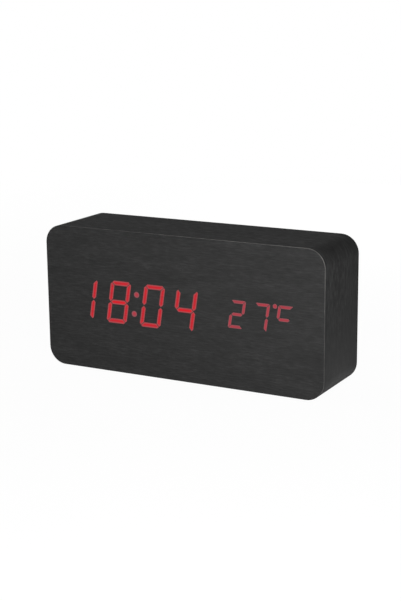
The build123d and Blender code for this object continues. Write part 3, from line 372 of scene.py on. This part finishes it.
def foil_front_sheet():
    """Foil on the front cover sheet; its rounded arris has wear and a painted highlight, most at upper
    right.
    """
    finish = Finish("foil_front", Specular_IOR_Level=0.05)
    colour, relief = wood_grain(finish, finish.x, finish.z)
    depth = finish.minus(finish.y, LOW.y)
    edge = finish.spread(depth, 0.1 * SHEET_EDGE_MM, 0.6 * SHEET_EDGE_MM, smooth=True)
    past = finish.spread(depth, SHEET_EDGE_MM, 2 * SHEET_EDGE_MM, 1.0, 0.0, smooth=True)
    # painted highlight: the arris is lightened most towards the upper right, and its paler tones are
    # partly wear, partly painted highlight
    upper_right = finish.plus(finish.x, finish.times(finish.z, WEAR_AND_HIGHLIGHT_UPWARDS))
    amount = finish.spread(upper_right, WEAR_AND_HIGHLIGHT_FROM_MM, WEAR_AND_HIGHLIGHT_TO_MM, WEAR_AND_HIGHLIGHT_LEAST, 1.0)
    edge = finish.times(finish.times(edge, past), amount)
    arris_noise = finish.noise(finish.stretched(0.25, 3.0, 0.25), detail=4.0, roughness=0.6)
    worn_and_highlit = finish.shades(arris_noise, tone(97, 96, 96), tone(134, 133, 130), start=0.35)
    finish.use(Base_Color=finish.mix(edge, colour, worn_and_highlit))
    finish.bump(relief, FOIL_RELIEF_MM * MM)
    return finish.material


def foil_back_sheet():
    """Foil on the back cover sheet, whose cut edge is darker."""
    finish = Finish("foil_back", Specular_IOR_Level=0.05)
    colour, relief = wood_grain(finish, finish.x, finish.z)
    depth = finish.minus(HIGH.y, finish.y)
    edge = finish.spread(depth, 0.2 * SHEET_EDGE_MM, SHEET_EDGE_MM, smooth=True)
    finish.use(Base_Color=finish.mix(edge, colour, tone(22, 22, 23)))
    finish.bump(relief, FOIL_RELIEF_MM * MM)
    return finish.material


# Plastics, metals and the rest


def speckled(name, dark, light, roughness, grain, depth_mm, **values):
    """Plastic with fine tool texture, its grain given per millimetre, and broad, faint patches."""
    finish = Finish(name, **values)
    fine = finish.noise(finish.place, scale=grain, roughness=0.6)
    broad = finish.noise(finish.place, scale=grain / PATCH_TO_GRAIN, detail=2.0)
    finish.use(
        Base_Color=finish.shades(finish.blend(fine, broad, 0.6), dark, light, start=0.35),
        Roughness=finish.vary(broad, roughness - 0.05, roughness + 0.05),
    )
    finish.bump(fine, depth_mm * MM)
    return finish


def plastic(name, dark, light, roughness=0.45):
    """Smooth plastic with a faint grain."""
    return speckled(name, dark, light, roughness, 5.0, 0.01).material


def black_moulding():
    """Spark-textured plastic of the service panel and its door."""
    dark, light = tone(25, 25, 26), tone(35, 35, 36)
    return speckled("black_moulding", dark, light, 0.55, 7.0, 0.03, Specular_IOR_Level=0.3).material


def button_black(name):
    """Satin plastic, with pale paint in the sunk sign."""
    finish = speckled("button_black_" + name, tone(28, 28, 29), tone(36, 36, 37), 0.34, 12.0, 0.008)
    low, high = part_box(name)
    middle, top = (low + high) / 2 / MM, high.y / MM
    off_middle = finish.vector("SUBTRACT", finish.place, middle)
    from_axis = finish.length(finish.vector("MULTIPLY", off_middle, (1.0, 0.0, 1.0)))
    in_sign = finish.math("LESS_THAN", from_axis, BUTTON_SIGN_REACH_MM)
    sunk = finish.math("LESS_THAN", finish.y, top - BUTTON_SIGN_DEPTH_MM / 2)
    plain = finish.shader.inputs["Base Color"].links[0].from_socket
    finish.use(Base_Color=finish.mix(finish.times(in_sign, sunk), plain, tone(196, 196, 192)))
    return finish.material


def metal(name, dark, light, roughness, stretch):
    """Plated or bare metal with fine lines, which run along the axes of least stretch."""
    finish = Finish(name, Metallic=1.0)
    lines = finish.noise(finish.stretched(*stretch), detail=4.0, roughness=0.6)
    patches = finish.noise(finish.place, scale=0.5)
    finish.use(
        Base_Color=finish.shades(patches, dark, light),
        Roughness=finish.vary(lines, roughness - 0.08, roughness + 0.08),
    )
    finish.bump(lines, 0.004 * MM)
    return finish.material


def circuit_board():
    """Green solder mask with tracks under it."""
    finish = Finish("circuit_board", Specular_IOR_Level=0.5)
    flat = finish.point(finish.x, finish.z)
    tracks = finish.node("ShaderNodeTexBrick", Vector=flat, Scale=0.4, Mortar_Size=0.03)
    laid = finish.noise(finish.place, scale=0.15, detail=1.0)
    shown = finish.times(tracks.outputs["Fac"], finish.spread(laid, 0.45, 0.55))
    finish.use(
        Base_Color=finish.mix(shown, tone(16, 74, 44), tone(34, 108, 62)),
        Roughness=finish.vary(laid, 0.3, 0.42),
    )
    finish.bump(shown, 0.03 * MM)
    return finish.material


def cell_jacket(name):
    """Printed sleeve round a cell, in two greys, with bare plated steel at both ends."""
    low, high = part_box(name)
    middle, half = (low + high) / 2 / MM, (high.x - low.x) / 2 / MM
    finish = Finish("cell_jacket_" + name, Coat_Weight=0.4, Coat_Roughness=0.15)
    across = finish.math("ABSOLUTE", finish.minus(finish.x, middle.x))
    bare = finish.math("GREATER_THAN", across, half - CELL_BARE_END_MM)
    print_grain = finish.noise(finish.stretched(0.3, 6.0, 6.0))
    band = finish.spread(finish.x, middle.x - CELL_BAND_BLUR_MM, middle.x + CELL_BAND_BLUR_MM)
    sleeve = finish.mix(band, tone(64, 74, 82), tone(84, 94, 102))
    sleeve = finish.mix(finish.times(print_grain, 0.3), sleeve, tone(40, 46, 52))
    finish.use(
        Base_Color=finish.mix(bare, sleeve, tone(190, 190, 188)),
        Metallic=finish.math("MAXIMUM", bare, 0.35),
        Roughness=finish.vary(print_grain, 0.28, 0.4),
    )
    return finish.material


def resin():
    """Clear cast resin, a little milky."""
    finish = Finish("cast_resin", Transmission_Weight=0.7, IOR=1.5)
    cloud = finish.noise(finish.place, scale=0.8)
    finish.use(
        Base_Color=finish.shades(cloud, tone(222, 214, 214), tone(240, 234, 232)),
        Roughness=finish.vary(cloud, 0.15, 0.3),
    )
    return finish.material


def ribbon_insulation():
    """Grey flat lead, grooved between its ways."""
    finish = Finish("ribbon_insulation", Specular_IOR_Level=0.4)
    ways = finish.math("ABSOLUTE", finish.math("SINE", finish.times(finish.x, math.pi / RIBBON_WAY_MM)))
    dust = finish.noise(finish.place, scale=2.0)
    finish.use(
        Base_Color=finish.shades(dust, tone(150, 150, 153), tone(170, 170, 172)),
        Roughness=finish.vary(dust, 0.45, 0.6),
    )
    finish.bump(ways, 0.2 * MM)
    return finish.material


# Finishes by material slot, and by node where a node has its own

PLASTICS = {
    "diffusing_film": (grey(215), tone(228, 228, 226), 0.6),
    "white_moulding": (tone(218, 218, 214), tone(232, 232, 228)),
    "lamp_body": (tone(232, 220, 178), tone(244, 236, 200), 0.3),
    "chip_black": (tone(32, 32, 33), tone(42, 42, 43), 0.55),
    "header_moulding": (tone(226, 222, 206), tone(238, 234, 220)),
    "sensor_bead": (tone(28, 28, 32), tone(44, 44, 48), 0.25),
    "red_insulation": (tone(150, 22, 22), tone(178, 30, 28), 0.4),
    "black_insulation": (grey(22), grey(32), 0.4),
}
METALS = {
    "plated_steel": (tone(140, 142, 145), tone(172, 172, 171), 0.34, (2.0, 2.0, 8.0)),
    "nickel_strip": (tone(188, 184, 176), tone(212, 208, 200), 0.26, (6.0, 6.0, 1.0)),
    "plain_can": (tone(196, 197, 200), tone(216, 216, 218), 0.3, (6.0, 1.0, 6.0)),
}
SLOT_FINISHES = {
    "fibreboard": fibreboard(),
    "cast_resin": resin(),
    "circuit_board": circuit_board(),
    "black_moulding": black_moulding(),
    "grey_insulation": ribbon_insulation(),
}
for slot, look in PLASTICS.items():
    SLOT_FINISHES[slot] = plastic(slot, *look)
for slot, look in METALS.items():
    SLOT_FINISHES[slot] = metal(slot, *look)

NODE_FINISHES = {
    "case_body": foil_round_case(),
    "front_sheet": foil_front_sheet(),
    "back_sheet": foil_back_sheet(),
}
for node in frame["nodes"]:
    if node.startswith("battery_cell_"):
        NODE_FINISHES[node] = cell_jacket(node)
    if node.endswith("_button"):
        NODE_FINISHES[node] = button_black(node)

for node, solid in frame["nodes"].items():
    for holder in solid.material_slots:
        slot = holder.material.name.split(".")[0] if holder.material else None
        material = NODE_FINISHES.get(node) or SLOT_FINISHES.get(slot)
        if material:
            holder.material = material


def add_object(name, data):
    """Object in the scene, with the given mesh, light or camera."""
    made = bpy.data.objects.new(name, data)
    bpy.context.scene.collection.objects.link(made)
    return made


def add_mesh(name, shape, *materials):
    """Object with the mesh of a bmesh, which is freed."""
    mesh = bpy.data.meshes.new(name)
    shape.to_mesh(mesh)
    shape.free()
    for material in materials:
        mesh.materials.append(material)
    return add_object(name, mesh)


# Lit windows


def glow(name, dark, light, middle_bar=None):
    """Light seen through the foil: a colour that wavers a little along the grain.

    A colour for the middle bar shows at half the case's height, where the time's middle bars lie.
    """
    finish = Finish(name, Roughness=0.6, Specular_IOR_Level=0.05, Emission_Strength=1.0)
    grain = finish.noise(finish.stretched(0.15, 1.0, 2.2), detail=4.0, roughness=0.6)
    colour = finish.shades(grain, dark, light)
    if middle_bar is not None:
        off = finish.math("ABSOLUTE", finish.minus(finish.z, (LOW.z + HIGH.z) / 2))
        inner, outer = MIDDLE_BAR_MM / 2, 0.7 * MIDDLE_BAR_MM
        near = finish.spread(off, inner, outer, MIDDLE_BAR_SHARE, 0.0, smooth=True)
        colour = finish.mix(near, colour, middle_bar)
    finish.use(Emission_Color=colour, Base_Color=finish.mix(0.96, colour, tone(12, 4, 5)))
    return finish.material


def lit_windows(node, core, rim, rim_mm):
    """A digit's windows, each with a narrow paler rim round its bright face."""
    shape = bmesh.new()
    shape.from_mesh(frame["nodes"][node].data)
    bmesh.ops.remove_doubles(shape, verts=shape.verts, dist=WELD_MM * MM)
    flat = math.radians(FLAT_WITHIN_DEGREES)
    bmesh.ops.dissolve_limit(shape, angle_limit=flat, verts=shape.verts, edges=shape.edges)
    front = min(v.co.y for v in shape.verts)
    faces = [f for f in shape.faces if all(abs(v.co.y - front) < FRONT_WITHIN_MM * MM for v in f.verts)]
    for face in shape.faces:
        face.material_index = 1
    bmesh.ops.inset_individual(shape, faces=faces, thickness=rim_mm * MM, depth=-RIM_SINK_MM * MM)
    for face in faces:
        face.material_index = 0
    piece = add_mesh(node + "_window", shape, core, rim)
    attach(piece, "clock")
    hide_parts(node)


time_core = glow("glow_time_core", tone(176, 38, 50), tone(206, 36, 44), middle_bar=tone(211, 28, 38))
time_rim = glow("glow_time_rim", tone(152, 66, 70), tone(174, 74, 78))
soft_core = glow("glow_soft_core", tone(146, 66, 74), tone(182, 52, 64))
soft_rim = glow("glow_soft_rim", tone(136, 72, 78), tone(150, 82, 88))

for node in ("hour_tens", "hour_units", "minute_tens", "minute_units"):
    lit_windows(node + "_lit", time_core, time_rim, TIME_RIM_MM)
lit_windows("colon_lit", soft_core, soft_rim, TIME_RIM_MM)
for node in ("temperature_tens", "temperature_units", "celsius", "degree"):
    lit_windows(node + "_lit", soft_core, soft_rim, SOFT_RIM_MM)


# Floor, lamps and camera


def floor():
    """Wide pale floor. The camera sees it nearly white, with the object's shadow kept."""
    finish = Finish("floor", Roughness=0.8, Specular_IOR_Level=0.1)
    cloud = finish.noise(finish.place, scale=0.002, detail=2.0)
    finish.use(Base_Color=finish.shades(cloud, grey(246), grey(250), start=0.0))
    white = finish.node("ShaderNodeEmission", WHITE, 1.0)
    away = finish.length(finish.vector("MULTIPLY", finish.place, (1.0, 1.0, 0.0)))
    share = finish.spread(
        away, FLOOR_SHADOW_MM, FLOOR_WHITE_FROM_MM, FLOOR_WHITE_SHARE, 1.0, smooth=True
    )
    share = finish.times(finish.in_view(), share)
    seen = finish.node("ShaderNodeMixShader", share, finish.shader.outputs[0], white.outputs[0])
    finish.feed(finish.tree.nodes["Material Output"].inputs["Surface"], seen.outputs[0])
    shape = bmesh.new()
    bmesh.ops.create_grid(shape, x_segments=8, y_segments=8, size=FLOOR_REACH)
    ground = add_mesh("floor", shape, finish.material)
    ground.location.z = cad_box[0].z - FLOOR_GAP_MM * MM


def world():
    """Plain light from all round, less from above. The camera, gloss and glass see white."""
    made = bpy.data.worlds.new("studio")
    bpy.context.scene.world = made
    made.use_nodes = True
    sky = Nodes(made.node_tree)
    direction = sky.node("ShaderNodeTexCoord").outputs["Generated"]
    height = sky.node("ShaderNodeSeparateXYZ", direction).outputs["Z"]
    strength = sky.spread(height, 0.0, SKY_TOP_FROM, SKY_LIGHT_LOW, SKY_LIGHT_TOP)
    light = sky.tree.nodes["Background"]
    sky.feed(light.inputs["Color"], WHITE)
    sky.feed(light.inputs["Strength"], strength)
    white = sky.node("ShaderNodeBackground", WHITE, 1.0)
    seen = sky.node("ShaderNodeMixShader", sky.in_view(), light.outputs[0], white.outputs[0])
    sky.feed(sky.tree.nodes["World Output"].inputs["Surface"], seen.outputs[0])


def lamp(name, place, size, power, aim=CAMERA_TARGET):
    """Square soft box that faces the object, or another place."""
    light = bpy.data.lights.new(name, "AREA")
    light.shape = "SQUARE"
    light.size = size
    light.energy = power
    made = add_object(name, light)
    made.location = place
    made.rotation_mode = "QUATERNION"
    made.rotation_quaternion = (Vector(aim) - Vector(place)).to_track_quat("-Z", "Y")
    made.visible_camera = False


def camera():
    """Camera at the picture's place, turned by yaw, pitch and roll."""
    yaw, pitch, roll = (math.radians(a) for a in (CAMERA_YAW, CAMERA_PITCH, CAMERA_ROLL))
    forward = Vector((-math.sin(yaw) * math.cos(pitch), math.cos(yaw) * math.cos(pitch), -math.sin(pitch)))
    level = Vector((math.cos(yaw), math.sin(yaw), 0))
    upright = level.cross(forward)
    right = level * math.cos(roll) + upright * math.sin(roll)
    up = upright * math.cos(roll) - level * math.sin(roll)
    data = bpy.data.cameras.new("camera")
    data.lens = CAMERA_LENS
    data.clip_start, data.clip_end = CAMERA_CLIP
    made = add_object("camera", data)
    turn = Matrix((right, up, -forward)).transposed().to_4x4()
    made.matrix_world = Matrix.Translation(CAMERA_TARGET - forward * CAMERA_DISTANCE) @ turn
    bpy.context.scene.camera = made


# Places and sizes are in metres, power is in watts

floor()
world()
lamp("key", (0.22, -0.36, 0.18), size=0.24, power=1.75)
lamp("over", (-0.75, 0.05, 0.5), size=0.5, power=2.3)
lamp("side", (0.9, 0.0, 0.03), size=0.4, power=0.06)
lamp("behind", (-0.12, 0.6, 0.034), size=0.06, power=3.4)
lamp("bounce", (0.095, 0.0, 0.001), size=0.04, power=0.007, aim=(0.095, 0.0, 1.0))
camera()
bpy.context.scene.view_settings.view_transform = "Standard"
